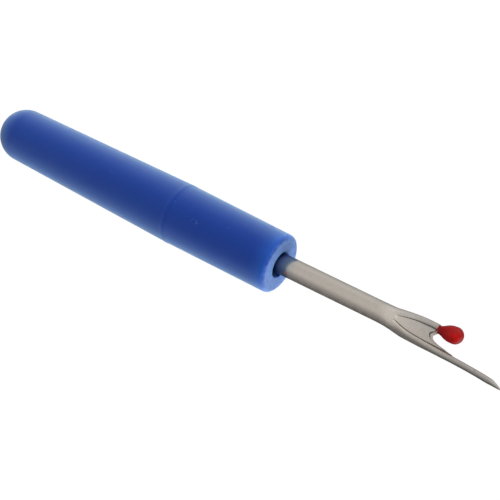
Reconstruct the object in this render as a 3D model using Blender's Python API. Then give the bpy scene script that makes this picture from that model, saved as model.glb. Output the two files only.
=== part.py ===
"""Seam ripper: moulded barrel handle, one-piece forked steel blade, red safety bead.

Frame: origin on the handle's axis, halfway along the tool. +X along the axis towards the
blade's points, +Z square to the flat of the fork, +Y towards the beaded tine.
Dimensions below are in millimetres, with distances along the tool measured from the
handle's front face; the model is built in metres.
"""

import math

import bmesh
import bpy
import numpy as np
from mathutils import Matrix

MM = 0.001
WELD = 1e-7

# Handle: one moulding, drafted both ways from a witness ridge round the barrel.
RIDGE_X = -21.3
RIDGE_RADIUS = 5.54
RIDGE_HALF_LENGTH = 0.3
BARREL_FRONT_RADIUS = 5.32
BARREL_RADIUS_BEFORE_RIDGE = 5.42
BARREL_RADIUS_BEHIND_RIDGE = 5.46
DOME_RADIUS = 4.81
HANDLE_LENGTH = 61.7
FRONT_FILLET = 0.75
HANDLE_SEGMENTS = 48
DOME_STEPS = 10

# Socket in the front face, open round the shank, and the tight bore behind it.
SOCKET_RADIUS = 2.37
SOCKET_LIP = 0.12
SOCKET_DEPTH = 9.0
SOCKET_CONE_DEPTH = 0.8
BORE_RADIUS = 1.84
BORE_START = -8.0
BORE_END = -23.7
BORE_POINT = 0.9
BORE_SEGMENTS = 48

# The blade leans a little in its bore, within the plane of the fork.
BLADE_LEAN = math.radians(0.88)
BLADE_OFFSET_Y = 0.282

# Round shank and tang.
SHANK_RADIUS = 1.80
TANG_END = -23.6
TANG_CHAMFER = 0.35

# Fork. Each side of the head is a ridge of round section: distance along the blade,
# distance of the ridge's centre from the blade's axis, and radius.
SHORT_RIDGE = (
    (19.8, 0.00, 1.80), (20.8, 0.14, 1.68), (21.6, 0.37, 1.48), (22.2, 0.58, 1.30),
    (22.9, 0.89, 1.10), (23.7, 1.17, 0.94), (24.6, 1.42, 0.81), (25.4, 1.60, 0.72),
    (26.3, 1.76, 0.65), (27.4, 1.86, 0.60), (28.7, 1.91, 0.56), (29.4, 1.90, 0.55),
)  # fmt: skip
LONG_RIDGE = (
    (19.8, 0.00, 1.80), (20.8, 0.16, 1.68), (21.6, 0.43, 1.48), (22.2, 0.66, 1.30),
    (22.9, 0.95, 1.10), (23.7, 1.20, 0.94), (24.6, 1.44, 0.81), (25.4, 1.57, 0.72),
    (26.3, 1.67, 0.65), (27.4, 1.75, 0.60), (28.7, 1.82, 0.56), (30.2, 1.84, 0.55),
    (32.0, 1.89, 0.54), (34.0, 1.97, 0.54), (36.0, 2.06, 0.54), (38.0, 2.17, 0.54),
    (40.0, 2.31, 0.54), (41.1, 2.42, 0.53),
)  # fmt: skip
# Half thickness of the pressed web between the ridges, along the blade.
WEB = ((22.9, 1.10), (23.7, 0.90), (24.6, 0.75), (25.4, 0.62), (26.3, 0.50),
       (27.4, 0.36), (28.7, 0.25), (30.2, 0.18))  # fmt: skip
FAN_START = 25.4
BEVEL_SHORT = 29.45
BEVEL_LONG = 32.6
THROAT_SHORT = 29.65
THROAT_LONG = 34.95
# The line where the bevel of the throat starts, and the cutting edge itself.
BEVEL_LINE = (
    (29.35, 0.88), (29.06, 0.70), (28.86, 0.34), (29.00, 0.00), (29.22, -0.30),
    (29.74, -0.52), (30.53, -0.80), (31.54, -0.97),
)  # fmt: skip
THROAT_EDGE = (
    (29.90, 0.84), (29.82, 0.56), (29.60, 0.21), (29.66, -0.02), (29.90, -0.28),
    (30.40, -0.50), (31.15, -0.68), (32.58, -0.88),
)  # fmt: skip
RIDGE_STEPS = 8
FAN_ROWS = 4
BEVEL_ROWS = 7

# Long tine's ground point: distance along, centre, half width.
LONG_POINT = ((41.8, 2.47, 0.49), (42.4, 2.60, 0.39), (43.0, 2.74, 0.27), (43.5, 2.87, 0.15))
LONG_TIP = (43.85, 2.99)

# Short tine's spigot, which the bead is moulded on: distance along, centre, radius.
SPIGOT = ((29.70, 1.90, 0.55), (29.76, 1.84, 0.34), (31.6, 1.905, 0.30), (31.85, 1.914, 0.18))
SPIGOT_TIP = (31.92, 1.916)

# Bead: a teardrop, its outline measured from the end of its neck.
BEAD_START = (29.80, 1.60)
BEAD_TILT = math.radians(5.65)
BEAD_FLANK = (
    (0.00, 0.68), (0.05, 0.71), (0.30, 0.73), (0.50, 0.78), (0.80, 0.90), (1.20, 1.10),
    (1.60, 1.27), (2.10, 1.40), (2.55, 1.445),
)  # fmt: skip
BEAD_BALL_X = 2.92
BEAD_BALL_RADIUS = 1.46
BEAD_SEGMENTS = 36
BEAD_STEPS = 10

# The blind hole in the bead follows the spigot.
BEAD_HOLE_START = (29.80, 1.841)
BEAD_HOLE_TILT = math.radians(2.0)
BEAD_HOLE_RADIUS = 0.375
BEAD_HOLE_DEPTH = 2.25
BEAD_HOLE_SEGMENTS = 24


def clear_scene():
    for obj in list(bpy.data.objects):
        bpy.data.objects.remove(obj)


def make_material(name, colour, roughness, metallic=0.0, subsurface=0.0):
    material = bpy.data.materials.new(name)
    material.use_nodes = True
    shader = material.node_tree.nodes["Principled BSDF"]
    shader.inputs["Base Color"].default_value = (*colour, 1.0)
    shader.inputs["Roughness"].default_value = roughness
    shader.inputs["Metallic"].default_value = metallic
    shader.inputs["Subsurface Weight"].default_value = subsurface
    return material


def finish(bm, name, material, sharp_degrees):
    """Turns the bmesh, which is in millimetres, into a smooth-shaded object in metres."""
    bmesh.ops.scale(bm, vec=(MM, MM, MM), verts=bm.verts)
    bmesh.ops.remove_doubles(bm, verts=bm.verts, dist=WELD)
    bmesh.ops.recalc_face_normals(bm, faces=bm.faces)
    mesh = bpy.data.meshes.new(name)
    bm.to_mesh(mesh)
    bm.free()
    mesh.shade_smooth()
    mesh.set_sharp_from_angle(angle=math.radians(sharp_degrees))
    mesh.materials.append(material)
    obj = bpy.data.objects.new(name, mesh)
    bpy.context.collection.objects.link(obj)
    return obj


def revolve(profile, segments):
    """A closed solid from (x, radius) pairs turned round the X axis."""
    bm = bmesh.new()
    points = [bm.verts.new((x, radius, 0.0)) for x, radius in profile]
    edges = [bm.edges.new(pair) for pair in zip(points, points[1:])]
    bmesh.ops.spin(
        bm,
        geom=points + edges,
        cent=(0, 0, 0),
        axis=(1, 0, 0),
        angle=math.tau,
        steps=segments,
        use_merge=True,
    )
    bmesh.ops.remove_doubles(bm, verts=bm.verts, dist=WELD / MM)
    return bm


def arc(centre_x, centre_radius, radius, start, end, steps):
    angles = np.radians(np.linspace(start, end, steps + 1))
    return [
        (centre_x + radius * math.cos(a), centre_radius + radius * math.sin(a))
        for a in angles
    ]


def handle_profile():
    dome_x = DOME_RADIUS - HANDLE_LENGTH
    profile = [(-SOCKET_DEPTH - SOCKET_CONE_DEPTH, 0.0)]
    profile.append((-SOCKET_DEPTH - SOCKET_CONE_DEPTH, BORE_RADIUS - 0.3))
    profile.append((-SOCKET_DEPTH, SOCKET_RADIUS))
    profile.append((-SOCKET_LIP, SOCKET_RADIUS))
    profile.append((0.0, SOCKET_RADIUS + SOCKET_LIP))
    fillet_centre = BARREL_FRONT_RADIUS - FRONT_FILLET
    profile += arc(-FRONT_FILLET, fillet_centre, FRONT_FILLET, 0, 90, 5)
    profile.append((RIDGE_X + RIDGE_HALF_LENGTH, BARREL_RADIUS_BEFORE_RIDGE))
    profile.append((RIDGE_X + RIDGE_HALF_LENGTH / 3, RIDGE_RADIUS))
    profile.append((RIDGE_X - RIDGE_HALF_LENGTH / 3, RIDGE_RADIUS))
    profile.append((RIDGE_X - RIDGE_HALF_LENGTH, BARREL_RADIUS_BEHIND_RIDGE))
    profile += arc(dome_x, 0.0, DOME_RADIUS, 90, 180, DOME_STEPS)[:-1]
    profile.append((-HANDLE_LENGTH, 0.0))
    return profile


def front_face_x():
    """Where the handle's front face stands, so that the tool's middle is at the origin."""
    reach = LONG_TIP[0] * math.cos(BLADE_LEAN) + LONG_TIP[1] * math.sin(BLADE_LEAN)
    return (HANDLE_LENGTH - reach) / 2


def blade_placement():
    lean = Matrix.Rotation(BLADE_LEAN, 4, "Z")
    return Matrix.Translation((front_face_x() * MM, BLADE_OFFSET_Y * MM, 0)) @ lean


def tilted(start, angle):
    """Placement of a shape on a tine: its start in the blade's plane, and its turn."""
    offset = Matrix.Translation((start[0] * MM, start[1] * MM, 0))
    return blade_placement() @ offset @ Matrix.Rotation(angle, 4, "Z")


def cut_out(body, cutter):
    """Cuts a hidden, turned helper out of a body."""
    cutter.hide_render = True
    cutter.display_type = "WIRE"
    cut = body.modifiers.new(cutter.name, "BOOLEAN")
    cut.operation = "DIFFERENCE"
    cut.solver = "EXACT"
    cut.object = cutter


def build_handle():
    plastic = make_material("blue_plastic", (0.035, 0.10, 0.40), 0.42, subsurface=0.1)
    handle = finish(revolve(handle_profile(), HANDLE_SEGMENTS), "handle", plastic, 35)
    handle.location.x = front_face_x() * MM
    drill = [(BORE_START, 0.0), (BORE_START, BORE_RADIUS)]
    drill += [(BORE_END, BORE_RADIUS), (BORE_END - BORE_POINT, 0.0)]
    cutter = finish(revolve(drill, BORE_SEGMENTS), "bore_cutter", plastic, 35)
    cutter.matrix_world = blade_placement()
    cut_out(handle, cutter)
    return handle


def at(table, column, distance):
    """A column of a table, read at a distance along the blade."""
    rows = np.array(table)
    return float(np.interp(distance, rows[:, 0], rows[:, column]))


def web_height(distance, radius):
    """Half thickness of the web; behind the pressed pocket it is flush with the ridges."""
    if distance <= WEB[0][0]:
        return radius
    return min(radius, at(WEB, 1, distance))


def ridge_points(x, centre, radius, crease_height, side):
    """Points round the upper half of one ridge, from its outer side in to the crease."""
    last = math.pi - math.asin(min(1.0, crease_height / radius))
    angles = np.linspace(0.0, last, RIDGE_STEPS + 1)
    return [
        (x, side * (centre + radius * math.cos(a)), radius * math.sin(a)) for a in angles
    ]


def plain_ridge(table, distance, side):
    radius = at(table, 2, distance)
    height = web_height(distance, radius)
    return ridge_points(distance, at(table, 1, distance), radius, height, side)


def bevelled_ridge(table, start, end, share, side):
    """The ridge beside the throat's bevel, where the web runs out to nothing."""
    distance = start + (end - start) * share
    height = web_height(start, 1.0) * (1.0 - share)
    return ridge_points(distance, at(table, 1, distance), at(table, 2, distance), height, side)


def between(a, b, share):
    return tuple(p + (q - p) * share for p, q in zip(a, b))


def web_points(first, last):
    """Interior points of a straight web row, from the short tine's crease to the long one's."""
    count = len(BEVEL_LINE) + 1
    return [between(first, last, i / count) for i in range(1, count)]


def shank_row(distance):
    short = plain_ridge(SHORT_RIDGE, distance, 1)
    long = plain_ridge(LONG_RIDGE, distance, -1)
    return short + web_points(short[-1], long[-1]) + long[::-1]


def head_rows():
    """Half-section rows from the shank to the cutting edge of the throat."""
    stations = [row[0] for row in SHORT_RIDGE if row[0] < FAN_START]
    rows = [shank_row(x) for x in [*stations, FAN_START]]
    start = rows[-1][RIDGE_STEPS + 1 : -RIDGE_STEPS - 1]
    bevel = [(x, y, web_height(x, 1.0)) for x, y in BEVEL_LINE]
    edge = [(x, y, 0.0) for x, y in THROAT_EDGE]
    for i in range(1, FAN_ROWS + 1):
        share = i / FAN_ROWS
        short = plain_ridge(SHORT_RIDGE, FAN_START + (BEVEL_SHORT - FAN_START) * share, 1)
        long = plain_ridge(LONG_RIDGE, FAN_START + (BEVEL_LONG - FAN_START) * share, -1)
        middle = [between(a, b, share) for a, b in zip(start, bevel)]
        middle = [(x, y, web_height(x, 1.0)) for x, y, _ in middle]
        rows.append(short + middle + long[::-1])
    for i in range(1, BEVEL_ROWS + 1):
        share = i / BEVEL_ROWS
        short = bevelled_ridge(SHORT_RIDGE, BEVEL_SHORT, THROAT_SHORT, share, 1)
        long = bevelled_ridge(LONG_RIDGE, BEVEL_LONG, THROAT_LONG, share, -1)
        middle = [between(a, b, share) for a, b in zip(bevel, edge)]
        rows.append(short + middle + long[::-1])
    return rows


def tang_rows():
    inner = SHANK_RADIUS - TANG_CHAMFER
    count = len(shank_row(FAN_START))
    rows = []
    for x, radius in ((TANG_END, inner), (TANG_END + TANG_CHAMFER, SHANK_RADIUS)):
        short = ridge_points(x, 0.0, radius, radius, 1)
        long = ridge_points(x, 0.0, radius, radius, -1)
        filler = [short[-1]] * (count - 2 * RIDGE_STEPS - 2)
        rows.append(short + filler + long[::-1])
    return rows


def long_tine_rows():
    rows = [row for row in LONG_RIDGE if row[0] > THROAT_LONG]
    return [ridge_points(x, c, r, 0.0, -1)[::-1] for x, c, r in [*rows, *LONG_POINT]]


def short_tine_rows():
    return [ridge_points(x, centre, radius, 0.0, 1) for x, centre, radius in SPIGOT]


def add_rows(bm, rows):
    return [[bm.verts.new(point) for point in row] for row in rows]


def skin(bm, rows):
    for near, far in zip(rows, rows[1:]):
        for i in range(len(near) - 1):
            bm.faces.new((near[i], near[i + 1], far[i + 1], far[i]))


def close_to_point(bm, row, point):
    tip = bm.verts.new(point)
    for a, b in zip(row, row[1:]):
        bm.faces.new((a, b, tip))


def build_blade():
    """Skins the upper half of the blade; a Mirror makes the lower half."""
    steel = make_material("nickel_steel", (0.60, 0.57, 0.53), 0.34, metallic=1.0)
    bm = bmesh.new()
    body = add_rows(bm, tang_rows() + head_rows())
    skin(bm, body)
    bm.faces.new(body[0][::-1])
    long_tine = [body[-1][-RIDGE_STEPS - 1 :], *add_rows(bm, long_tine_rows())]
    skin(bm, long_tine)
    close_to_point(bm, long_tine[-1], (LONG_TIP[0], -LONG_TIP[1], 0.0))
    short_tine = [body[-1][: RIDGE_STEPS + 1], *add_rows(bm, short_tine_rows())]
    skin(bm, short_tine)
    close_to_point(bm, short_tine[-1], (*SPIGOT_TIP, 0.0))
    blade = finish(bm, "blade", steel, 30)
    mirror = blade.modifiers.new("lower half", "MIRROR")
    mirror.use_axis = (False, False, True)
    mirror.merge_threshold = 1e-6
    blade.matrix_world = blade_placement()
    return blade


def bead_profile():
    """Teardrop outline from the end of the neck round to the front of the ball."""
    profile = [(0.0, 0.0), *BEAD_FLANK]
    profile += arc(BEAD_BALL_X, 0.0, BEAD_BALL_RADIUS, 90, 0, BEAD_STEPS)[:-1]
    profile.append((BEAD_BALL_X + BEAD_BALL_RADIUS, 0.0))
    return profile


def build_bead():
    red = make_material("red_plastic", (0.42, 0.01, 0.008), 0.2, subsurface=0.1)
    bead = finish(revolve(bead_profile(), BEAD_SEGMENTS), "bead", red, 40)
    bead.matrix_world = tilted(BEAD_START, BEAD_TILT)
    drill = [(-1.0, 0.0), (-1.0, BEAD_HOLE_RADIUS)]
    drill += [(BEAD_HOLE_DEPTH, BEAD_HOLE_RADIUS), (BEAD_HOLE_DEPTH, 0.0)]
    cutter = finish(revolve(drill, BEAD_HOLE_SEGMENTS), "hole_cutter", red, 40)
    cutter.matrix_world = tilted(BEAD_HOLE_START, BEAD_HOLE_TILT)
    cut_out(bead, cutter)
    return bead


def main():
    clear_scene()
    build_handle()
    build_blade()
    build_bead()


main()
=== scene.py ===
"""The seam ripper as it looks: three finely meshed pieces in place of the CAD nodes, their
materials, a light tent, a glowing floor and the camera."""

import math

import bmesh
import bpy
import numpy as np
from mathutils import Matrix, Vector


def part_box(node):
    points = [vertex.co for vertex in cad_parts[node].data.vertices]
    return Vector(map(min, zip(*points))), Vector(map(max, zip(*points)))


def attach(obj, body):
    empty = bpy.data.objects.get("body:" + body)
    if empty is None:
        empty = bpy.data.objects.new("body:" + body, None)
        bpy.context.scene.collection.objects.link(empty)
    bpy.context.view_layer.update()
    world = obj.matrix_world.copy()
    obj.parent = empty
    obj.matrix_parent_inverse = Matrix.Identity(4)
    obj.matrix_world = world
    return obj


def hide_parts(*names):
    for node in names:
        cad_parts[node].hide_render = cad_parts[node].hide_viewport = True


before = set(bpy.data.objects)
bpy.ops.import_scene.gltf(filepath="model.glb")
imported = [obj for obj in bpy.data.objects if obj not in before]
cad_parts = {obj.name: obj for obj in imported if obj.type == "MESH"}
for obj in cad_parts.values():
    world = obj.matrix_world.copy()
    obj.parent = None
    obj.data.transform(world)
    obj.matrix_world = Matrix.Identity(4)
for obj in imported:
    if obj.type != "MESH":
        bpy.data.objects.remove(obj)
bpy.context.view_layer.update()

MM = 0.001
# Points closer than this become one, in metres.
WELD = 1e-8
# Added to a size before a comparison, in millimetres.
SLACK = 0.001
FACE_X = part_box("handle")[1].x

# ---------------------------------------------------------------- shapes, in millimetres
# Distances along the tool are measured from the handle's front face.

RIDGE_X = -21.3
RIDGE_RADIUS = 5.54
RIDGE_SPREAD = 0.42
# The profile's points stand closer together this far either side of the ridge.
RIDGE_ZONE = 1.2
RIDGE_STEP = 0.1
BARREL_FRONT_RADIUS = 5.32
BARREL_RADIUS_BEFORE_RIDGE = 5.48
BARREL_RADIUS_BEHIND_RIDGE = 5.5
DOME_RADIUS = 4.81
HANDLE_LENGTH = 61.7
DOME_X = DOME_RADIUS - HANDLE_LENGTH
DOME_MARGIN = 0.4
FRONT_FILLET = 0.78
FILLET_MARGIN = 0.02
# Gaps between the front face's even rings of points and its inner and outer edges.
FACE_MARGINS = (0.3, 0.1)
HANDLE_SEGMENTS = 224

SOCKET_RADIUS = 2.37
SOCKET_LIP = 0.16
SOCKET_DEPTH = 9.0
SOCKET_CONE_DEPTH = 0.8
BORE_RADIUS = 1.84
BORE_END = -23.7
BORE_POINT = 0.9
# Where the even rings of points up the socket and up the bore end.
SOCKET_LAST_RING = -0.6
BORE_LAST_RING = -10.0

BLADE_LEAN = math.radians(0.88)
BLADE_OFFSET_Y = 0.282

SHANK_RADIUS = 1.80
SHANK_SPAN = (-20.0, 18.0)
TANG_END = -23.6
TANG_CHAMFER = 0.35
HEAD_START = 18.8

# Ridges either side of the head: distance along, centre from the axis, radius.
SHORT_RIDGE = (
    (19.0, 0.00, 1.80), (19.8, 0.02, 1.79), (20.8, 0.14, 1.68), (21.6, 0.37, 1.48),
    (22.2, 0.58, 1.30), (22.9, 0.89, 1.10), (23.7, 1.17, 0.94), (24.6, 1.42, 0.81),
    (25.4, 1.60, 0.72), (26.3, 1.76, 0.65), (27.4, 1.86, 0.60), (28.7, 1.91, 0.56),
    (29.4, 1.90, 0.55),
)  # fmt: skip
LONG_RIDGE = (
    (19.0, 0.00, 1.80), (19.8, 0.02, 1.79), (20.8, 0.16, 1.68), (21.6, 0.43, 1.48),
    (22.2, 0.67, 1.31), (22.9, 0.97, 1.13), (23.7, 1.24, 0.99), (24.6, 1.48, 0.88),
    (25.4, 1.61, 0.79), (26.3, 1.71, 0.72), (27.4, 1.79, 0.67), (28.7, 1.86, 0.63),
    (30.2, 1.88, 0.61), (32.0, 1.92, 0.59), (34.0, 1.98, 0.56), (36.0, 2.06, 0.55),
    (38.0, 2.17, 0.54), (40.0, 2.31, 0.54), (41.1, 2.42, 0.53),
)  # fmt: skip
# Half thickness of the pressed web between the ridges.
WEB = (
    (22.5, 1.21), (22.9, 1.04), (23.7, 0.84), (24.6, 0.68), (25.4, 0.56), (26.3, 0.45),
    (27.4, 0.34), (28.7, 0.25), (30.2, 0.18),
)  # fmt: skip
POCKET_START = 22.5
FAN_START = 25.4
LIP_SHORT = 29.55
LIP_LONG = 32.6
THROAT_SHORT = 29.66
THROAT_LONG = 34.05
# The lip where the web steps down, and the free edge of the thin fin left beyond it.
LIP = (
    (29.42, 0.90), (29.06, 0.70), (28.86, 0.34), (29.0, 0.0), (29.22, -0.3),
    (29.74, -0.525), (30.53, -0.818), (31.54, -0.99),
)  # fmt: skip
FIN_EDGE = (
    (29.76, 1.02), (30.02, 0.82), (29.80, 0.54), (29.60, 0.21), (29.66, -0.02), (29.82, -0.20),
    (30.05, -0.41), (30.72, -0.65), (31.50, -0.84), (32.35, -0.99),
)  # fmt: skip
# Beyond the lip: share of the way to the fin's edge, share of the web's height left.
LIP_FALLS = ((0.05, 0.36), (0.16, 0.30), (0.3, 0.24), (0.5, 0.18), (0.75, 0.10), (1.0, 0.0))
SHORT_THROAT_RADIUS = 0.55
LONG_THROAT_RADIUS = 0.54
GROOVE_WIDTH = 0.10
GROOVE_DEPTH = 0.09
LONG_TINE_END = 41.1
LONG_POINT = ((41.8, 2.47, 0.49), (42.4, 2.60, 0.39), (43.0, 2.74, 0.27), (43.5, 2.87, 0.15))
LONG_TIP = (43.85, 2.99)
SPIGOT = (
    (29.70, 1.90, 0.55), (29.74, 1.88, 0.50), (29.77, 1.84, 0.34), (31.6, 1.905, 0.30),
    (31.85, 1.914, 0.18),
)  # fmt: skip
SPIGOT_TIP = (31.92, 1.916)

BEAD_START = (29.79, 1.60)
BEAD_TILT = math.radians(5.65)
BEAD_BALL_X = 2.92
BEAD_BALL_RADIUS = 1.46
BEAD_FLANK = (
    (0.00, 0.68), (0.05, 0.71), (0.15, 0.72), (0.30, 0.73), (0.50, 0.78), (0.80, 0.90),
    (1.20, 1.10), (1.60, 1.27), (2.10, 1.40), (2.55, 1.445), (2.92, 1.46),
)  # fmt: skip
BEAD_HOLE_RADIUS = 0.375
BEAD_HOLE_DEPTH = 2.25
BEAD_HOLE_MOUTH = 0.02
BEAD_HOLE_OFFSET = 0.24
BEAD_HOLE_TILT = math.radians(-3.65)
BEAD_SEGMENTS = 128


# ---------------------------------------------------------------- mesh helpers


def finish_mesh(bm, name, sharp_degrees):
    """A smooth-shaded object in metres from a bmesh in millimetres."""
    bmesh.ops.scale(bm, vec=(MM, MM, MM), verts=bm.verts)
    bmesh.ops.remove_doubles(bm, verts=bm.verts, dist=WELD)
    bmesh.ops.recalc_face_normals(bm, faces=bm.faces)
    mesh = bpy.data.meshes.new(name)
    bm.to_mesh(mesh)
    bm.free()
    mesh.shade_smooth()
    mesh.set_sharp_from_angle(angle=math.radians(sharp_degrees))
    obj = bpy.data.objects.new(name, mesh)
    bpy.context.scene.collection.objects.link(obj)
    return obj


def arc(centre_x, centre_radius, radius, start, end, steps):
    """Points of a profile round a centre, between two angles in degrees."""
    angles = np.radians(np.linspace(start, end, steps + 1))
    return [
        (centre_x + radius * math.cos(a), centre_radius + radius * math.sin(a))
        for a in angles
    ]


def smooth(table, column, distance):
    """A column of a table at a distance along the blade, on a monotone cubic."""
    x = np.array([row[0] for row in table])
    y = np.array([row[column] for row in table])
    if distance <= x[0]:
        return float(y[0])
    if distance >= x[-1]:
        return float(y[-1])
    slope = np.diff(y) / np.diff(x)
    tangent = np.concatenate([[slope[0]], (slope[:-1] + slope[1:]) / 2, [slope[-1]]])
    tangent[1:-1][slope[:-1] * slope[1:] <= 0] = 0.0
    i = min(int(np.searchsorted(x, distance, side="right")) - 1, len(slope) - 1)
    h = x[i + 1] - x[i]
    t = (distance - x[i]) / h
    return float(
        (1 + 2 * t) * (1 - t) ** 2 * y[i]
        + t * (1 - t) ** 2 * h * tangent[i]
        + t * t * (3 - 2 * t) * y[i + 1]
        + t * t * (t - 1) * h * tangent[i + 1]
    )


def ramp(x, start, end):
    """0 before start, 1 beyond end and even in between."""
    return float(np.clip((x - start) / (end - start), 0.0, 1.0))


def between(a, b, share):
    """The point a share of the way from a to b."""
    return tuple(p + (q - p) * share for p, q in zip(a, b))


def curve_points(points, count):
    """Evenly shared points on a smooth curve through the given ones, ends left out."""
    marks = np.linspace(0, 1, len(points))
    tables = [list(zip(marks, (p[k] for p in points))) for k in range(len(points[0]))]
    shares = np.linspace(0, 1, count + 2)[1:-1]
    return [tuple(smooth(table, 1, s) for table in tables) for s in shares]


def blade_placement():
    """From the blade's own axes to the tool's: it leans a little in the handle."""
    lean = Matrix.Rotation(BLADE_LEAN, 4, "Z")
    return Matrix.Translation((FACE_X, BLADE_OFFSET_Y * MM, 0)) @ lean


# ---------------------------------------------------------------- handle


def barrel_radius(x):
    """Drafted barrel with the witness ridge raised on it."""
    if x >= RIDGE_X:
        share = (x - RIDGE_X) / (-FRONT_FILLET - RIDGE_X)
        radius = BARREL_RADIUS_BEFORE_RIDGE
        radius += (BARREL_FRONT_RADIUS - radius) * share
    else:
        share = (RIDGE_X - x) / (RIDGE_X - DOME_X)
        radius = BARREL_RADIUS_BEHIND_RIDGE
        radius += (DOME_RADIUS - radius) * share
    raised = math.exp(-(((x - RIDGE_X) / RIDGE_SPREAD) ** 2))
    return radius + (RIDGE_RADIUS - radius) * raised


def barrel_stretch(start, end, count):
    """Evenly spaced points of the barrel's outline."""
    return [(x, barrel_radius(x)) for x in np.linspace(start, end, count)]


def handle_profile():
    """From the bottom of the bore, out over the front face and back to the dome's top."""
    face_edge = BARREL_FRONT_RADIUS - FRONT_FILLET
    profile = [(BORE_END - BORE_POINT, 0.0), (BORE_END, BORE_RADIUS)]
    profile += [(x, BORE_RADIUS) for x in np.linspace(BORE_END, BORE_LAST_RING, 8)[1:]]
    profile.append((-SOCKET_DEPTH - SOCKET_CONE_DEPTH, BORE_RADIUS))
    profile.append((-SOCKET_DEPTH, SOCKET_RADIUS))
    socket_rings = np.linspace(-SOCKET_DEPTH, SOCKET_LAST_RING, 14)[1:]
    profile += [(x, SOCKET_RADIUS) for x in socket_rings]
    profile += arc(-SOCKET_LIP, SOCKET_RADIUS + SOCKET_LIP, SOCKET_LIP, 270, 360, 6)
    inner, outer = SOCKET_RADIUS + FACE_MARGINS[0], face_edge - FACE_MARGINS[1]
    profile += [(0.0, radius) for radius in np.linspace(inner, outer, 12)]
    profile += arc(-FRONT_FILLET, face_edge, FRONT_FILLET, 0, 90, 10)
    close = RIDGE_ZONE - RIDGE_STEP
    profile += barrel_stretch(-FRONT_FILLET - FILLET_MARGIN, RIDGE_X + RIDGE_ZONE, 60)
    profile += barrel_stretch(RIDGE_X + close, RIDGE_X - close, 23)
    profile += barrel_stretch(RIDGE_X - RIDGE_ZONE, DOME_X + DOME_MARGIN, 90)
    profile += arc(DOME_X, 0.0, DOME_RADIUS, 90, 180, 28)[:-1]
    profile.append((-HANDLE_LENGTH, 0.0))
    return profile


def turned(profile, segments, shift):
    """A closed solid turned round X. shift(x, radius) moves a ring's centre off the axis."""
    bm = bmesh.new()
    angles = [math.tau * i / segments for i in range(segments)]
    rings = []
    for x, radius in profile:
        dy = shift(x, radius)
        places = [(dy + radius * math.cos(a), radius * math.sin(a)) for a in angles]
        if radius == 0.0:
            places = [(dy, 0.0)]
        rings.append([bm.verts.new((x, y, z)) for y, z in places])
    for near, far in zip(rings, rings[1:]):
        for i in range(segments):
            j = (i + 1) % segments
            corners = [near[i % len(near)], near[j % len(near)]]
            corners += [far[j % len(far)], far[i % len(far)]]
            bm.faces.new(dict.fromkeys(corners))
    return bm


def bore_shift(x, radius):
    """The tight bore follows the leaning blade; everything else is on the axis."""
    bottom = BORE_END - BORE_POINT
    deep = bottom - SLACK <= x < -SOCKET_DEPTH - SLACK
    if not deep or radius > BORE_RADIUS + SLACK:
        return 0.0
    return BLADE_OFFSET_Y + math.tan(BLADE_LEAN) * x


def build_handle():
    """The barrel with its round end, ridge, ring-shaped front face, socket and bore."""
    solid = turned(handle_profile(), HANDLE_SEGMENTS, bore_shift)
    handle = finish_mesh(solid, "handle_moulding", sharp_degrees=40)
    handle.location.x = FACE_X
    return handle


# ---------------------------------------------------------------- blade
# A row is a list of points (x, y, z, painted shade) from the short side's silhouette to the
# long side's. It holds the short ridge and its groove, the web, then the long groove and
# ridge.

RIDGE_STEPS = 22
GROOVE_POINTS = 2
EDGE_POINTS = RIDGE_STEPS + 1 + GROOVE_POINTS
WEB_POINTS = 26
# The long ridge keeps the wire's outer slope: its crown leans over towards the crease.
FLANK_START = (22.2, 24.2)
FLANK_END = (28.0, 32.0)
FLANK_SLANT = 0.26
FLANK_LIFT = 0.2
# Painted shade on the long ridge's outer flank, darkest half way round it.
FLANK_SHADE = 0.3
# Where the creases come in, how much painted shade they get, and how much of that their edges
# take.
SHORT_CREASE_START = (POCKET_START + 0.8, POCKET_START + 1.4)
LONG_CREASE_START = (POCKET_START - 0.1, POCKET_START + 0.5)
LONG_CREASE_DEEP = (27.5, 30.0)
SHORT_CREASE_SHADE = 0.75
LONG_CREASE_SHADE = (0.6, 0.4)
RIDGE_FOOT_SHADE = 0.6
WEB_EDGE_SHADE = 0.35
# Painted shade along the lip where the web steps down.
LIP_LINE_SHADE = 0.3
# Share of the way from the lip to the fin's edge over which the painted shade of the step
# fades.
STEP_SHADE = (0.13, 0.32)
# Where a groove's bottom is across it, and the most of the web's height that it may take.
GROOVE_BOTTOM = 0.45
GROOVE_MOST = 0.45


def web_height(distance, radius=math.inf):
    """Half thickness of the web, never over the radius given."""
    if distance <= POCKET_START:
        return radius
    return min(radius, smooth(WEB, 1, distance))


def ridge_points(x, centre, radius, crease_height, side):
    """Half of a round ridge from its outer silhouette over to the crease."""
    last = math.pi - math.asin(min(1.0, crease_height / radius))
    angles = np.linspace(0.0, last, RIDGE_STEPS + 1)
    slant = ramp(x, *FLANK_START) * (1 - ramp(x, *FLANK_END)) if side < 0 else 0.0
    # Painted shade on the long ridge's outer flank.
    shade = FLANK_SHADE * ramp(x, *FLANK_START) if side < 0 else 0.0
    points = []
    for a in angles:
        bow = slant * math.sin(math.pi * a / last)
        y = centre + radius * (math.cos(a) - FLANK_SLANT * bow)
        z = radius * math.sin(a) * (1 + FLANK_LIFT * bow)
        points.append((x, side * y, z, shade * max(0.0, math.sin(2 * a))))
    return points


def crease_shade(x, side):
    """How much painted shade the crease line gets: faint at the pocket's point, most by the
    throat.
    """
    if side > 0:
        return SHORT_CREASE_SHADE * ramp(x, *SHORT_CREASE_START)
    faint, more = LONG_CREASE_SHADE
    return ramp(x, *LONG_CREASE_START) * (faint + more * ramp(x, *LONG_CREASE_DEEP))


def groove(crease, side, depth):
    """The pressed line at the foot of a ridge: its bottom and its far edge."""
    x, y, z, _ = crease
    # The groove's bottom and far edge carry painted shade.
    painted_shade = crease_shade(x, side)
    width = GROOVE_WIDTH * ramp(x, POCKET_START - 1.0, POCKET_START)
    return [
        (x, y - side * width * GROOVE_BOTTOM, z - depth, painted_shade),
        (x, y - side * width, z, WEB_EDGE_SHADE * painted_shade),
    ]


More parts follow.
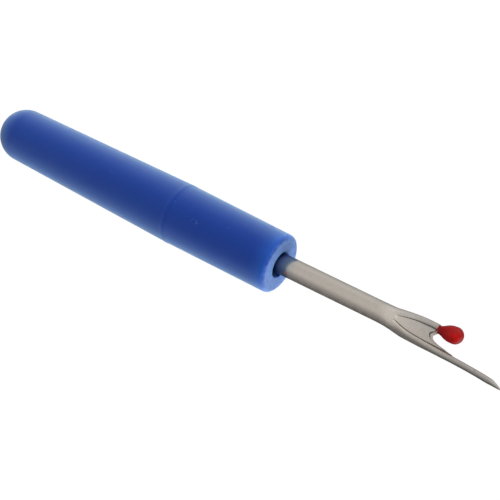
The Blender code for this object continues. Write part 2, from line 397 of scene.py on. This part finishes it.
def ridge_and_groove(table, distance, side, height):
    """A ridge that comes down to a height, and the groove at its foot."""
    centre = smooth(table, 1, distance)
    radius = smooth(table, 2, distance)
    points = ridge_points(distance, centre, radius, min(height, radius), side)
    # The ridge's last point, at the crease, carries painted shade too.
    points[-1] = (*points[-1][:3], RIDGE_FOOT_SHADE * crease_shade(distance, side))
    depth = GROOVE_DEPTH * ramp(distance, POCKET_START, POCKET_START + 0.6)
    depth = min(depth, GROOVE_MOST * height)
    return points + groove(points[-1], side, depth)


def plain_ridge(table, distance, side):
    """A ridge that comes down to the web's own height."""
    radius = smooth(table, 2, distance)
    return ridge_and_groove(table, distance, side, web_height(distance, radius))


def web_row(first, last):
    """Clean points shared out evenly from one groove across to the other."""
    shares = [i / (WEB_POINTS + 1) for i in range(1, WEB_POINTS + 1)]
    return [(*between(first, last, share)[:3], 0.0) for share in shares]


def head_row(distance):
    """A row straight across the head."""
    short = plain_ridge(SHORT_RIDGE, distance, 1)
    long = plain_ridge(LONG_RIDGE, distance, -1)
    return short + web_row(short[-1], long[-1]) + long[::-1]


def fan_rows(first, last, lengths, shares):
    """Rows that fan out from one line across the web to another."""
    short_start, short_end, long_start, long_end = lengths
    rows = []
    for share in shares:
        x_short = short_start + (short_end - short_start) * share
        x_long = long_start + (long_end - long_start) * share
        short = plain_ridge(SHORT_RIDGE, x_short, 1)
        long = plain_ridge(LONG_RIDGE, x_long, -1)
        middle = [between(a, b, share) for a, b in zip(first, last)]
        # The row on the lip carries painted shade.
        lip_line_shade = LIP_LINE_SHADE if share == 1.0 else 0.0
        middle = [(x, y, web_height(x), lip_line_shade) for x, y, _, _ in middle]
        rows.append(short + middle + long[::-1])
    return rows


def inner_edge(table, distance, height):
    """How far from the axis a ridge's groove ends where the web has this height."""
    radius = smooth(table, 2, distance)
    return smooth(table, 1, distance) - math.sqrt(radius**2 - height**2) - GROOVE_WIDTH


def lip_line():
    """The lip's points, from the short ridge's groove round to the long one's."""
    start = (LIP_SHORT, inner_edge(SHORT_RIDGE, LIP_SHORT, web_height(LIP_SHORT)))
    end = (LIP_LONG, -inner_edge(LONG_RIDGE, LIP_LONG, web_height(LIP_LONG)))
    return curve_points([start, *LIP, end], WEB_POINTS)


def fin_line():
    """The free edge of the fin, from the short tine round to the long one."""
    short_y = smooth(SHORT_RIDGE, 1, THROAT_SHORT) - SHORT_THROAT_RADIUS - GROOVE_WIDTH
    long_y = smooth(LONG_RIDGE, 1, THROAT_LONG) - LONG_THROAT_RADIUS - GROOVE_WIDTH
    start = (THROAT_SHORT, short_y)
    end = (THROAT_LONG, -long_y)
    return curve_points([start, *FIN_EDGE, end], WEB_POINTS)


def beyond_lip(lip, fin, share, height_share):
    """A row between the lip and the fin's free edge, lower down than the web."""
    x_short = LIP_SHORT + (THROAT_SHORT - LIP_SHORT) * share
    x_long = LIP_LONG + (THROAT_LONG - LIP_LONG) * share
    height = web_height(LIP_SHORT) * height_share
    short = ridge_and_groove(SHORT_RIDGE, x_short, 1, height)
    long = ridge_and_groove(LONG_RIDGE, x_long, -1, height)
    # Painted shade below the step, fading towards the fin's edge.
    dark = 1.0 - ramp(share, *STEP_SHADE)
    middle = [(*between(a, b, share), height, dark) for a, b in zip(lip, fin)]
    return short + middle + long[::-1]


def head_rows():
    """The rows from the end of the shank to the fin's free edge."""
    stations = [*np.linspace(HEAD_START, POCKET_START, 24)]
    stations += [*np.linspace(POCKET_START, FAN_START, 26)[1:]]
    rows = [head_row(x) for x in stations]
    start = rows[-1][EDGE_POINTS:-EDGE_POINTS]
    lip = lip_line()
    fin = fin_line()
    flat_lip = [(x, y, web_height(x), LIP_LINE_SHADE) for x, y in lip]
    lengths = (FAN_START, LIP_SHORT, FAN_START, LIP_LONG)
    shares = [*np.linspace(0, 0.97, 32)[1:], 1.0]
    rows += fan_rows(start, flat_lip, lengths, shares)
    rows += [beyond_lip(lip, fin, share, fall) for share, fall in LIP_FALLS]
    return rows


def tang_rows():
    """Plain round rows; their middle points all stand on the top of the wire."""
    count = 2 * EDGE_POINTS + WEB_POINTS
    inner = SHANK_RADIUS - TANG_CHAMFER
    ends = [(TANG_END, inner), (TANG_END + TANG_CHAMFER, SHANK_RADIUS)]
    ends += [(x, SHANK_RADIUS) for x in np.linspace(*SHANK_SPAN, 20)]
    rows = []
    for x, radius in ends:
        short = ridge_points(x, 0.0, radius, radius, 1)
        long = ridge_points(x, 0.0, radius, radius, -1)
        filler = [short[-1]] * (count - len(short) - len(long))
        rows.append(short + filler + long[::-1])
    return rows


def long_tine_rows():
    """Rows of the long tine alone, from the throat to its point."""
    table = [*LONG_RIDGE, *LONG_POINT]
    stations = [*np.linspace(THROAT_LONG, LONG_TINE_END, 26)[1:]]
    stations += [*np.linspace(LONG_TINE_END, LONG_POINT[-1][0], 16)[1:]]
    return [
        ridge_points(x, smooth(table, 1, x), smooth(table, 2, x), 0.0, -1)[::-1]
        for x in stations
    ]


def short_tine_rows():
    """Rows of the spigot that stands in the bead."""
    return [ridge_points(x, centre, radius, 0.0, 1) for x, centre, radius in SPIGOT]


def skin(bm, rows):
    """Faces between each row and the next."""
    for near, far in zip(rows, rows[1:]):
        for i in range(len(near) - 1):
            bm.faces.new((near[i], near[i + 1], far[i + 1], far[i]))


def close_to_point(bm, row, point):
    """Faces from a row to a single point."""
    tip = bm.verts.new(point)
    for a, b in zip(row, row[1:]):
        bm.faces.new((a, b, tip))


def add_rows(bm, rows):
    """Vertices for rows of points, each with its painted shade."""
    layer = bm.verts.layers.float.get("painted_shade")
    made = []
    for row in rows:
        made.append([bm.verts.new(point[:3]) for point in row])
        for vert, point in zip(made[-1], row):
            vert[layer] = point[3]
    return made


def build_blade():
    """The upper half is skinned, copied upside down and joined along its outline."""
    bm = bmesh.new()
    bm.verts.layers.float.new("painted_shade")
    body = add_rows(bm, tang_rows() + head_rows())
    skin(bm, body)
    bm.faces.new(body[0][::-1])
    last = body[-1]
    long_tine = [last[-RIDGE_STEPS - 1 :], *add_rows(bm, long_tine_rows())]
    skin(bm, long_tine)
    close_to_point(bm, long_tine[-1], (LONG_TIP[0], -LONG_TIP[1], 0.0))
    short_tine = [last[: RIDGE_STEPS + 1], *add_rows(bm, short_tine_rows())]
    skin(bm, short_tine)
    close_to_point(bm, short_tine[-1], (*SPIGOT_TIP, 0.0))
    upper = bm.verts[:] + bm.edges[:] + bm.faces[:]
    lower = bmesh.ops.duplicate(bm, geom=upper)["geom"]
    for vert in [v for v in lower if isinstance(v, bmesh.types.BMVert)]:
        vert.co.z = -vert.co.z
    bmesh.ops.remove_doubles(bm, verts=bm.verts, dist=WELD / MM)
    flat = [f for f in bm.faces if all(abs(v.co.z) < WELD / MM for v in f.verts)]
    bmesh.ops.delete(bm, geom=flat, context="FACES")
    blade = finish_mesh(bm, "blade_wire", sharp_degrees=24)
    blade.matrix_world = blade_placement()
    return blade


# ---------------------------------------------------------------- bead


def bead_profile():
    """Teardrop: a stout neck that swells in an S-curve into the ball."""
    profile = [(BEAD_HOLE_DEPTH, 0.0), (BEAD_HOLE_DEPTH, BEAD_HOLE_RADIUS)]
    profile.append((BEAD_HOLE_MOUTH, BEAD_HOLE_RADIUS))
    profile += [(x, smooth(BEAD_FLANK, 1, x)) for x in np.linspace(0.0, BEAD_BALL_X, 60)]
    profile += arc(BEAD_BALL_X, 0.0, BEAD_BALL_RADIUS, 90, 0, 40)[1:-1]
    profile.append((BEAD_BALL_X + BEAD_BALL_RADIUS, 0.0))
    return profile


def bead_shift(x, radius):
    """The hole follows the tine it is moulded on; the outside has its own axis."""
    if radius > BEAD_HOLE_RADIUS + SLACK or x > BEAD_HOLE_DEPTH + SLACK:
        return 0.0
    return BEAD_HOLE_OFFSET + math.tan(BEAD_HOLE_TILT) * x


def build_bead():
    """The ball and its neck, moulded on the short tine."""
    solid = turned(bead_profile(), BEAD_SEGMENTS, bead_shift)
    bead = finish_mesh(solid, "bead_ball", sharp_degrees=50)
    offset = Matrix.Translation((BEAD_START[0] * MM, BEAD_START[1] * MM, 0))
    bead.matrix_world = blade_placement() @ offset @ Matrix.Rotation(BEAD_TILT, 4, "Z")
    return bead


# ---------------------------------------------------------------- the camera's place

# The camera stands 61 degrees round and 61 degrees up, rolled so that the tool runs
# from upper left to lower right.
CAMERA_AZIMUTH = math.radians(61.01)
CAMERA_ELEVATION = math.radians(61.07)
CAMERA_ROLL = math.radians(-30.75)
# Millimetres from the middle of the handle's front face.
CAMERA_POSITION = (116.06, -67.91, 253.16)
FOCAL_LENGTH = 122.4
SENSOR = 36.0


def view_axes():
    """Unit vectors to the right, up and back from the camera."""
    a, e, r = CAMERA_AZIMUTH, CAMERA_ELEVATION, CAMERA_ROLL
    level = Vector((math.cos(a), math.sin(a), 0.0))
    rise = Vector((-math.sin(a) * math.sin(e), math.cos(a) * math.sin(e), math.cos(e)))
    back = Vector((math.sin(a) * math.cos(e), -math.cos(a) * math.cos(e), math.sin(e)))
    right = level * math.cos(r) + rise * math.sin(r)
    up = rise * math.cos(r) - level * math.sin(r)
    return right, up, back


RIGHT, UP, BACK = view_axes()
# Square to the tool: across it in the picture, and from it towards the camera.
ACROSS = RIGHT * 0.452 + UP * 0.892
NEAR = RIGHT * -0.377 + UP * 0.191 + BACK * 0.906


def toward(direction):
    """The unit vector of a direction given as (right, up, back) of the camera."""
    right, up, back = direction
    return (RIGHT * right + UP * up + BACK * back).normalized()


# ---------------------------------------------------------------- materials


def new_material(name):
    material = bpy.data.materials.new(name)
    material.use_nodes = True
    nodes = material.node_tree.nodes
    return material, nodes, material.node_tree.links, nodes["Principled BSDF"]


def feed(links, socket, value):
    """Sets a socket to a number or a colour, or links another node's output to it."""
    if isinstance(value, bpy.types.NodeSocket):
        links.new(value, socket)
    elif isinstance(value, tuple):
        socket.default_value = (*value, 1.0)
    else:
        socket.default_value = value


def calculate(nodes, links, operation, *values):
    """The result of a Math node on numbers or other nodes' outputs."""
    node = nodes.new("ShaderNodeMath")
    node.operation = operation
    for socket, value in zip(node.inputs, values):
        feed(links, socket, value)
    return node.outputs["Value"]


def dot_product(nodes, links, vector, direction):
    node = nodes.new("ShaderNodeVectorMath")
    node.operation = "DOT_PRODUCT"
    node.inputs[1].default_value = direction
    links.new(vector, node.inputs[0])
    return node.outputs["Value"]


def noise(nodes, links, vector, scale, detail=3.0, roughness=0.55):
    node = nodes.new("ShaderNodeTexNoise")
    node.inputs["Scale"].default_value = scale
    node.inputs["Detail"].default_value = detail
    node.inputs["Roughness"].default_value = roughness
    links.new(vector, node.inputs["Vector"])
    return node.outputs["Fac"]


def remap(nodes, links, value, low, high, to_low, to_high):
    """Carries one range of values over to another and holds it beyond both ends."""
    node = nodes.new("ShaderNodeMapRange")
    node.inputs["From Min"].default_value = low
    node.inputs["From Max"].default_value = high
    node.inputs["To Min"].default_value = to_low
    node.inputs["To Max"].default_value = to_high
    links.new(value, node.inputs["Value"])
    return node.outputs["Result"]


def mix_colour(nodes, links, factor, first, second, blend="MIX"):
    """The first colour where the factor is 0, blended towards the second as it nears 1."""
    node = nodes.new("ShaderNodeMix")
    node.data_type = "RGBA"
    node.blend_type = blend
    for name, value in (("Factor", factor), ("A", first), ("B", second)):
        feed(links, node.inputs[name], value)
    return node.outputs["Result"]


def position(nodes, links, stretch=(1, 1, 1)):
    """Object-space position in millimetres, stretched."""
    coords = nodes.new("ShaderNodeTexCoord")
    mapping = nodes.new("ShaderNodeMapping")
    mapping.inputs["Scale"].default_value = [s / MM for s in stretch]
    links.new(coords.outputs["Object"], mapping.inputs["Vector"])
    return mapping.outputs["Vector"]


def bump(nodes, links, height, strength, distance_mm, normal=None):
    node = nodes.new("ShaderNodeBump")
    node.inputs["Strength"].default_value = strength
    node.inputs["Distance"].default_value = distance_mm * MM
    links.new(height, node.inputs["Height"])
    if normal is not None:
        links.new(normal, node.inputs["Normal"])
    return node.outputs["Normal"]


def along_tool(nodes, links, low, high):
    """0 to 1 between two distances along the piece, in millimetres."""
    coords = nodes.new("ShaderNodeTexCoord")
    split = nodes.new("ShaderNodeSeparateXYZ")
    links.new(coords.outputs["Object"], split.inputs["Vector"])
    return remap(nodes, links, split.outputs["X"], low * MM, high * MM, 0.0, 1.0)


def near_point(nodes, links, point, inner, outer, strength):
    """Strength near a point given in millimetres from the middle of the handle's front
    face, fading to nothing further out."""
    geometry = nodes.new("ShaderNodeNewGeometry")
    apart = nodes.new("ShaderNodeVectorMath")
    apart.operation = "DISTANCE"
    x, y, z = point
    apart.inputs[1].default_value = (FACE_X + x * MM, y * MM, z * MM)
    links.new(geometry.outputs["Position"], apart.inputs[0])
    return remap(nodes, links, apart.outputs["Value"], inner * MM, outer * MM, strength, 0.0)


def grazing(nodes, links, power, most):
    """Rises from nothing, face on, to most at the silhouette."""
    facing = nodes.new("ShaderNodeLayerWeight")
    facing.inputs["Blend"].default_value = 0.5
    curve = calculate(nodes, links, "POWER", facing.outputs["Facing"], power)
    return remap(nodes, links, curve, 0.0, 1.0, 0.0, most)


# Scuffs on the barrel: distance along the tool, place across the side that faces the
# camera (1 to -1), strength, colour.
SCUFFS = (
    (-15.0, -0.03, 0.5, (0.12, 0.20, 0.50)), (-15.25, 0.02, 0.35, (0.10, 0.18, 0.46)),
    (-15.5, -0.01, 0.6, (0.004, 0.02, 0.12)), (-15.9, 0.04, 0.3, (0.08, 0.15, 0.42)),
    (-16.2, -0.03, 0.25, (0.10, 0.18, 0.46)), (-20.6, 0.28, 0.25, (0.10, 0.18, 0.46)),
)  # fmt: skip


def on_barrel(x, side):
    """A point on the barrel, at a distance along it and a place across its near side."""
    point = (ACROSS * side + NEAR * math.sqrt(1 - side**2)) * barrel_radius(x)
    return (x, point.y, point.z)


# Colours are linear red, green and blue.
BLUE_DEEP = (0.0066, 0.0365, 0.235)
BLUE_LIGHT = (0.0077, 0.0412, 0.252)
BLUE_FLOW_LINE = (0.0071, 0.0388, 0.242)
BLUE_SPECK = (0.10, 0.20, 0.45)
BLUE_PAINTED_GLOW = (0.013, 0.080, 0.37)
BLUE_RIM_DARK = (0.011, 0.052, 0.25)
BLUE_RIM_LIGHT = (0.036, 0.086, 0.34)
BLUE_PAINTED_SHEEN = (0.56, 0.82, 0.98)
# Stretches along the tool over which the front end takes a painted glow and its ring turns
# mottled.
FRONT_GLOW = (-4.2, -0.4)
FRONT_RING = (-0.5, -0.1)
SCUFF_RADII = (0.03, 0.20)


def blue_plastic():
    """Even blue with faint flow lines, a painted glow at the front end and a painted sheen at
    its edges.
    """
    material, nodes, links, shader = new_material("blue_moulded_plastic")
    even = position(nodes, links)
    along = position(nodes, links, (0.12, 1, 1))
    clouds = noise(nodes, links, even, 0.25, 4.0)
    flow = noise(nodes, links, along, 1.1, 4.0)
    grain = noise(nodes, links, even, 9.0, 4.0)
    specks = noise(nodes, links, even, 3.2, 1.0, 0.4)
    tint = mix_colour(nodes, links, clouds, BLUE_DEEP, BLUE_LIGHT)
    streaks = remap(nodes, links, flow, 0.3, 0.7, 0.0, 0.35)
    tint = mix_colour(nodes, links, streaks, tint, BLUE_FLOW_LINE)
    for x, side, strength, colour in SCUFFS:
        spot = near_point(nodes, links, on_barrel(x, side), *SCUFF_RADII, strength)
        tint = mix_colour(nodes, links, spot, tint, colour)
    pale = remap(nodes, links, specks, 0.74, 0.8, 0.0, 0.25)
    tint = mix_colour(nodes, links, pale, tint, BLUE_SPECK)
    # Painted glow of light through the thin front end.
    glow = calculate(nodes, links, "POWER", along_tool(nodes, links, *FRONT_GLOW), 2.0)
    tint = mix_colour(nodes, links, glow, tint, BLUE_PAINTED_GLOW)
    # The front ring: the painted glow broken into random darker and lighter patches.
    patches = noise(nodes, links, even, 1.1, 3.0, 0.6)
    mottle = remap(nodes, links, patches, 0.42, 0.58, 0.0, 1.0)
    rim = mix_colour(nodes, links, mottle, BLUE_RIM_DARK, BLUE_RIM_LIGHT)
    tint = mix_colour(nodes, links, along_tool(nodes, links, *FRONT_RING), tint, rim)
    # Painted sheen: the blue pales towards the silhouette.
    tint = mix_colour(nodes, links, grazing(nodes, links, 1.9, 0.42), tint, BLUE_PAINTED_SHEEN)
    links.new(tint, shader.inputs["Base Color"])
    links.new(remap(nodes, links, flow, 0.3, 0.7, 0.40, 0.48), shader.inputs["Roughness"])
    shader.inputs["Specular IOR Level"].default_value = 0.08
    shader.inputs["IOR"].default_value = 1.5
    shader.inputs["Subsurface Weight"].default_value = 0.8
    shader.inputs["Subsurface Radius"].default_value = (0.15, 0.45, 1.0)
    shader.inputs["Subsurface Scale"].default_value = 1.2 * MM
    normal = bump(nodes, links, grain, 0.25, 0.012)
    normal = bump(nodes, links, flow, 0.35, 0.03, normal)
    links.new(normal, shader.inputs["Normal"])
    return material


# Painted reflection of the handle's blue front face and dark socket on the wire beside the
# handle.
ROOT_START = -1.0
ROOT_END = 3.4
# The painted reflection reaches further out at the wire's sides, by this for each square mm
# off its axis.
ROOT_BEND = 0.22
# Distance in front of the handle and the painted reflection's colour on the wire there.
ROOT_REFLECTION_COLOURS = (
    (-1.0, (0.02, 0.06, 0.24)), (-0.3, (0.05, 0.10, 0.34)), (0.2, (0.12, 0.22, 0.52)),
    (0.8, (0.18, 0.30, 0.61)), (1.65, (0.24, 0.37, 0.61)), (1.95, (0.50, 0.62, 0.76)),
    (2.25, (0.90, 0.95, 0.98)), (3.4, (1.0, 1.0, 1.0)),
)  # fmt: skip


def attribute(nodes, name):
    node = nodes.new("ShaderNodeAttribute")
    node.attribute_name = name
    return node.outputs["Fac"]


def painted_root_reflection(nodes, links):
    """A painted reflection of the handle's blue front face and dark socket on the wire next to
    it.
    """
    geometry = nodes.new("ShaderNodeNewGeometry")
    side = dot_product(nodes, links, geometry.outputs["Position"], ACROSS / MM)
    axis_side = ACROSS.dot(Vector((FACE_X, 0, 0))) / MM
    off_axis = calculate(nodes, links, "SUBTRACT", side, axis_side)
    squared = calculate(nodes, links, "MULTIPLY", off_axis, off_axis)
    capped = calculate(nodes, links, "MINIMUM", squared, SHANK_RADIUS**2)
    along = along_tool(nodes, links, ROOT_START, ROOT_END)
    bend = -ROOT_BEND / (ROOT_END - ROOT_START)
    place = calculate(nodes, links, "MULTIPLY_ADD", capped, bend, along)
    colours = nodes.new("ShaderNodeValToRGB")
    while len(colours.color_ramp.elements) < len(ROOT_REFLECTION_COLOURS):
        colours.color_ramp.elements.new(1.0)
    for stop, (distance, colour) in zip(colours.color_ramp.elements, ROOT_REFLECTION_COLOURS):
        stop.position = (distance - ROOT_START) / (ROOT_END - ROOT_START)
        stop.color = (*colour, 1.0)
    links.new(place, colours.inputs["Fac"])
    return colours.outputs["Color"]


# Stains and smudges on the metal, and one painted highlight: point, radius at full
# strength, radius where it ends, strength, colour. The point is measured from the middle of
# the handle's front face.
STAINS_AND_PAINTED_HIGHLIGHT = (
    ((2.0, -1.2, 0.95), 0.05, 0.55, 0.7, (0.50, 0.24, 0.11)),
    ((30.0, 2.12, 0.35), 0.25, 0.90, 0.75, (0.36, 0.17, 0.13)),
    # A painted highlight at the pocket's point, where the creases start.
    ((22.9, 0.75, 1.25), 0.05, 0.38, 0.8, (0.72, 0.69, 0.62)),
    ((38.7, -1.15, 0.50), 0.05, 0.45, 0.5, (0.20, 0.20, 0.22)),
    ((27.4, 1.02, 0.35), 0.02, 0.24, 0.4, (0.28, 0.27, 0.27)),
    ((27.95, 0.95, 0.31), 0.02, 0.18, 0.35, (0.28, 0.27, 0.27)),
)  # fmt: skip
STEEL_WARM = (0.485, 0.44, 0.39)
STEEL_PALE = (0.55, 0.50, 0.45)
STEEL_STREAK = (0.47, 0.42, 0.37)
STEEL_SMEAR = (0.33, 0.29, 0.25)
STEEL_PIT = (0.25, 0.22, 0.19)
STEEL_HEAD_DARKENING = (0.74, 0.75, 0.77)
PAINTED_SHADE_COLOUR = (0.05, 0.035, 0.025)
# Stretch along the tool over which the steel turns darker and cooler.
HEAD_DARKENING_STRETCH = (18.0, 36.0)


def nickel_steel():
    """Satin metal with drawing lines, smears, pits and stains, darker towards the head, with
    painted shade in its creases, a painted highlight and a painted reflection of the handle.
    """
    material, nodes, links, shader = new_material("satin_nickel_steel")
    even = position(nodes, links)
    drawn = position(nodes, links, (0.05, 1, 1))
    lines = noise(nodes, links, drawn, 9.0, 6.0, 0.65)
    blotches = noise(nodes, links, even, 0.9, 4.0)
    pits = noise(nodes, links, even, 4.5, 2.0, 0.5)
    tint = mix_colour(nodes, links, blotches, STEEL_WARM, STEEL_PALE)
    streaks = remap(nodes, links, lines, 0.3, 0.7, 0.0, 0.25)
    tint = mix_colour(nodes, links, streaks, tint, STEEL_STREAK)
    patches = noise(nodes, links, even, 2.2, 4.0, 0.7)
    smears = remap(nodes, links, patches, 0.45, 0.7, 0.0, 0.22)
    tint = mix_colour(nodes, links, smears, tint, STEEL_SMEAR)
    dark = remap(nodes, links, pits, 0.68, 0.76, 0.0, 0.5)
    tint = mix_colour(nodes, links, dark, tint, STEEL_PIT)
    # The steel turns darker and cooler towards the head.
    head_darkening = along_tool(nodes, links, *HEAD_DARKENING_STRETCH)
    tint = mix_colour(nodes, links, head_darkening, tint, STEEL_HEAD_DARKENING, "MULTIPLY")
    # Painted reflection of the handle's face and socket, multiplied in near the handle.
    tint = mix_colour(nodes, links, 1.0, tint, painted_root_reflection(nodes, links), "MULTIPLY")
    for point, inner, outer, strength, colour in STAINS_AND_PAINTED_HIGHLIGHT:
        spot = near_point(nodes, links, point, inner, outer, strength)
        tint = mix_colour(nodes, links, spot, tint, colour)
    # Painted shade from the vertex attribute: the creases, the long ridge's outer flank and
    # the lip.
    tint = mix_colour(nodes, links, attribute(nodes, "painted_shade"), tint, PAINTED_SHADE_COLOUR)
    shader.inputs["Metallic"].default_value = 1.0
    links.new(tint, shader.inputs["Base Color"])
    rough = remap(nodes, links, blotches, 0.3, 0.7, 0.48, 0.58)
    links.new(rough, shader.inputs["Roughness"])
    normal = bump(nodes, links, lines, 0.35, 0.006)
    normal = bump(nodes, links, pits, 0.15, 0.01, normal)
    links.new(normal, shader.inputs["Normal"])
    return material


def facing_toward(nodes, links, direction, low, high):
    """0 to 1 as the surface turns to face a direction."""
    normal = nodes.new("ShaderNodeNewGeometry").outputs["Normal"]
    facing = dot_product(nodes, links, normal, toward(direction))
    return remap(nodes, links, facing, low, high, 0.0, 1.0)


RED_DEEP = (0.235, 0.007, 0.007)
RED_LIGHT = (0.27, 0.009, 0.009)
RED_PAINTED_GLOW = (0.37, 0.003, 0.002)
RED_NECK = (0.17, 0.006, 0.007)
RED_PAINTED_SHEEN = (0.19, 0.030, 0.034)
# The bead's painted glow is brightest where it faces this way, just off the camera.
CORE_DIRECTION = (-0.10, -0.16, 0.98)
# Distances from the bead's own start over which its neck gives way to the ball.
NECK_FADE = (1.6, 0.2)


def red_plastic():
    """Clear deep red, with a painted glow in the middle and a painted sheen at its edge,
    darker at the neck.
    """
    material, nodes, links, shader = new_material("red_bead_plastic")
    even = position(nodes, links)
    clouds = noise(nodes, links, even, 0.8, 3.0)
    tint = mix_colour(nodes, links, clouds, RED_DEEP, RED_LIGHT)
    # Painted glow of light through the bead, where it faces just off the camera.
    core = facing_toward(nodes, links, CORE_DIRECTION, 0.82, 0.975)
    tint = mix_colour(nodes, links, core, tint, RED_PAINTED_GLOW)
    neck = along_tool(nodes, links, *NECK_FADE)
    tint = mix_colour(nodes, links, neck, tint, RED_NECK)
    # Painted sheen: the red pales towards the silhouette.
    tint = mix_colour(nodes, links, grazing(nodes, links, 3.0, 0.8), tint, RED_PAINTED_SHEEN)
    links.new(tint, shader.inputs["Base Color"])
    links.new(remap(nodes, links, clouds, 0.3, 0.7, 0.20, 0.28), shader.inputs["Roughness"])
    shader.inputs["IOR"].default_value = 1.5
    shader.inputs["Specular IOR Level"].default_value = 0.08
    links.new(bump(nodes, links, clouds, 0.08, 0.03), shader.inputs["Normal"])
    return material


# ---------------------------------------------------------------- camera and light

# Soft panels round the tool: direction as (right, up, back) of the camera, brightness.
PANELS = (
    ((0.0, 1.0, 0.1), 0.5),
    ((0.6, 0.7, 0.4), 1.5),
    ((-0.45, 0.25, 0.86), 1.0),
    ((0.1, -0.3, 0.95), 0.7),
    ((0.55, -0.85, 0.0), 2.9),
    ((1.0, 0.0, 0.0), 0.4),
    ((-0.95, -0.2, 0.1), 0.5),
    ((0.2, 0.7, -0.7), 0.4),
)  # fmt: skip
PANEL_REACH = math.radians(55)
# Discs that light matt surfaces only: name, direction, brightness they give white paper
# that faces them.
SOFT_LAMPS = (
    ("soft_top", (0.05, 0.85, 0.3), 0.36),
    ("soft_low", (0.05, -0.95, -0.02), 0.44),
)  # fmt: skip
# From here on in metres. The barrel lies on its ridge, a hair above the floor.
LAMP_DISTANCE = 0.6
LAMP_SIZE = 0.4
FLOOR_GAP = 0.00002
FLOOR_RADIUS = 3.0


def add_camera():
    camera = bpy.data.objects.new("camera", bpy.data.cameras.new("camera"))
    camera.data.sensor_width = SENSOR
    camera.data.lens = FOCAL_LENGTH
    camera.data.clip_start = 0.01
    camera.data.clip_end = 20.0
    turn = Matrix((RIGHT, UP, BACK)).transposed().to_4x4()
    place = Vector(CAMERA_POSITION) * MM + Vector((FACE_X, 0, 0))
    camera.matrix_world = Matrix.Translation(place) @ turn
    bpy.context.scene.collection.objects.link(camera)
    bpy.context.scene.camera = camera


def add_soft_lamp(name, direction, level):
    """A disc that lights matt surfaces only, so it leaves no highlight."""
    light = bpy.data.lights.new(name, "AREA")
    light.shape = "DISK"
    light.size = LAMP_SIZE
    light.energy = level * (math.pi * LAMP_DISTANCE) ** 2
    lamp = bpy.data.objects.new(name, light)
    place = toward(direction) * LAMP_DISTANCE
    turn = place.to_track_quat("Z", "Y").to_matrix().to_4x4()
    lamp.matrix_world = Matrix.Translation(place) @ turn
    lamp.visible_glossy = False
    lamp.visible_camera = False
    bpy.context.scene.collection.objects.link(lamp)


def lit_panel(nodes, links, coords, direction, level):
    """The glow of one soft panel, brightest at its middle and fading out at its edge."""
    facing = dot_product(nodes, links, coords, toward(direction))
    glow = nodes.new("ShaderNodeMapRange")
    glow.interpolation_type = "SMOOTHSTEP"
    glow.inputs["From Min"].default_value = math.cos(PANEL_REACH)
    glow.inputs["To Max"].default_value = level
    links.new(facing, glow.inputs["Value"])
    return glow.outputs["Result"]


def add_world():
    """A light tent of large soft panels round the tool."""
    world = bpy.data.worlds.new("light_tent")
    world.use_nodes = True
    nodes, links = world.node_tree.nodes, world.node_tree.links
    coords = nodes.new("ShaderNodeTexCoord").outputs["Generated"]
    total = 0.0
    for direction, level in PANELS:
        glow = lit_panel(nodes, links, coords, direction, level)
        total = calculate(nodes, links, "ADD", total, glow)
    links.new(total, nodes["Background"].inputs["Strength"])
    nodes["Background"].inputs["Color"].default_value = (1.0, 1.0, 1.0, 1.0)
    bpy.context.scene.world = world


def add_floor():
    """A glowing white floor that the tool neither mirrors nor shades."""
    bm = bmesh.new()
    bmesh.ops.create_circle(bm, cap_ends=True, radius=FLOOR_RADIUS, segments=96)
    mesh = bpy.data.meshes.new("floor")
    bm.to_mesh(mesh)
    bm.free()
    floor = bpy.data.objects.new("floor", mesh)
    floor.location.z = -RIDGE_RADIUS * MM - FLOOR_GAP
    bpy.context.scene.collection.objects.link(floor)
    material, nodes, links, shader = new_material("white_floor")
    shader.inputs["Base Color"].default_value = (0.02, 0.02, 0.02, 1.0)
    shader.inputs["Roughness"].default_value = 0.9
    shader.inputs["Emission Color"].default_value = (1.0, 1.0, 1.0, 1.0)
    shader.inputs["Emission Strength"].default_value = 0.99
    mesh.materials.append(material)
    floor.visible_diffuse = False
    floor.visible_glossy = False
    floor.visible_transmission = False
    floor.visible_shadow = False


def main():
    pieces = (
        (build_handle(), "handle", "blue_plastic", blue_plastic()),
        (build_blade(), "blade", "nickel_steel", nickel_steel()),
        (build_bead(), "bead", "red_plastic", red_plastic()),
    )
    for piece, node, slot, material in pieces:
        piece.data.materials.append(material)
        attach(piece, "root")
        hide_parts(node)
    add_floor()
    add_world()
    for name, direction, level in SOFT_LAMPS:
        add_soft_lamp(name, direction, level)
    add_camera()
    bpy.context.scene.view_settings.view_transform = "Standard"


main()
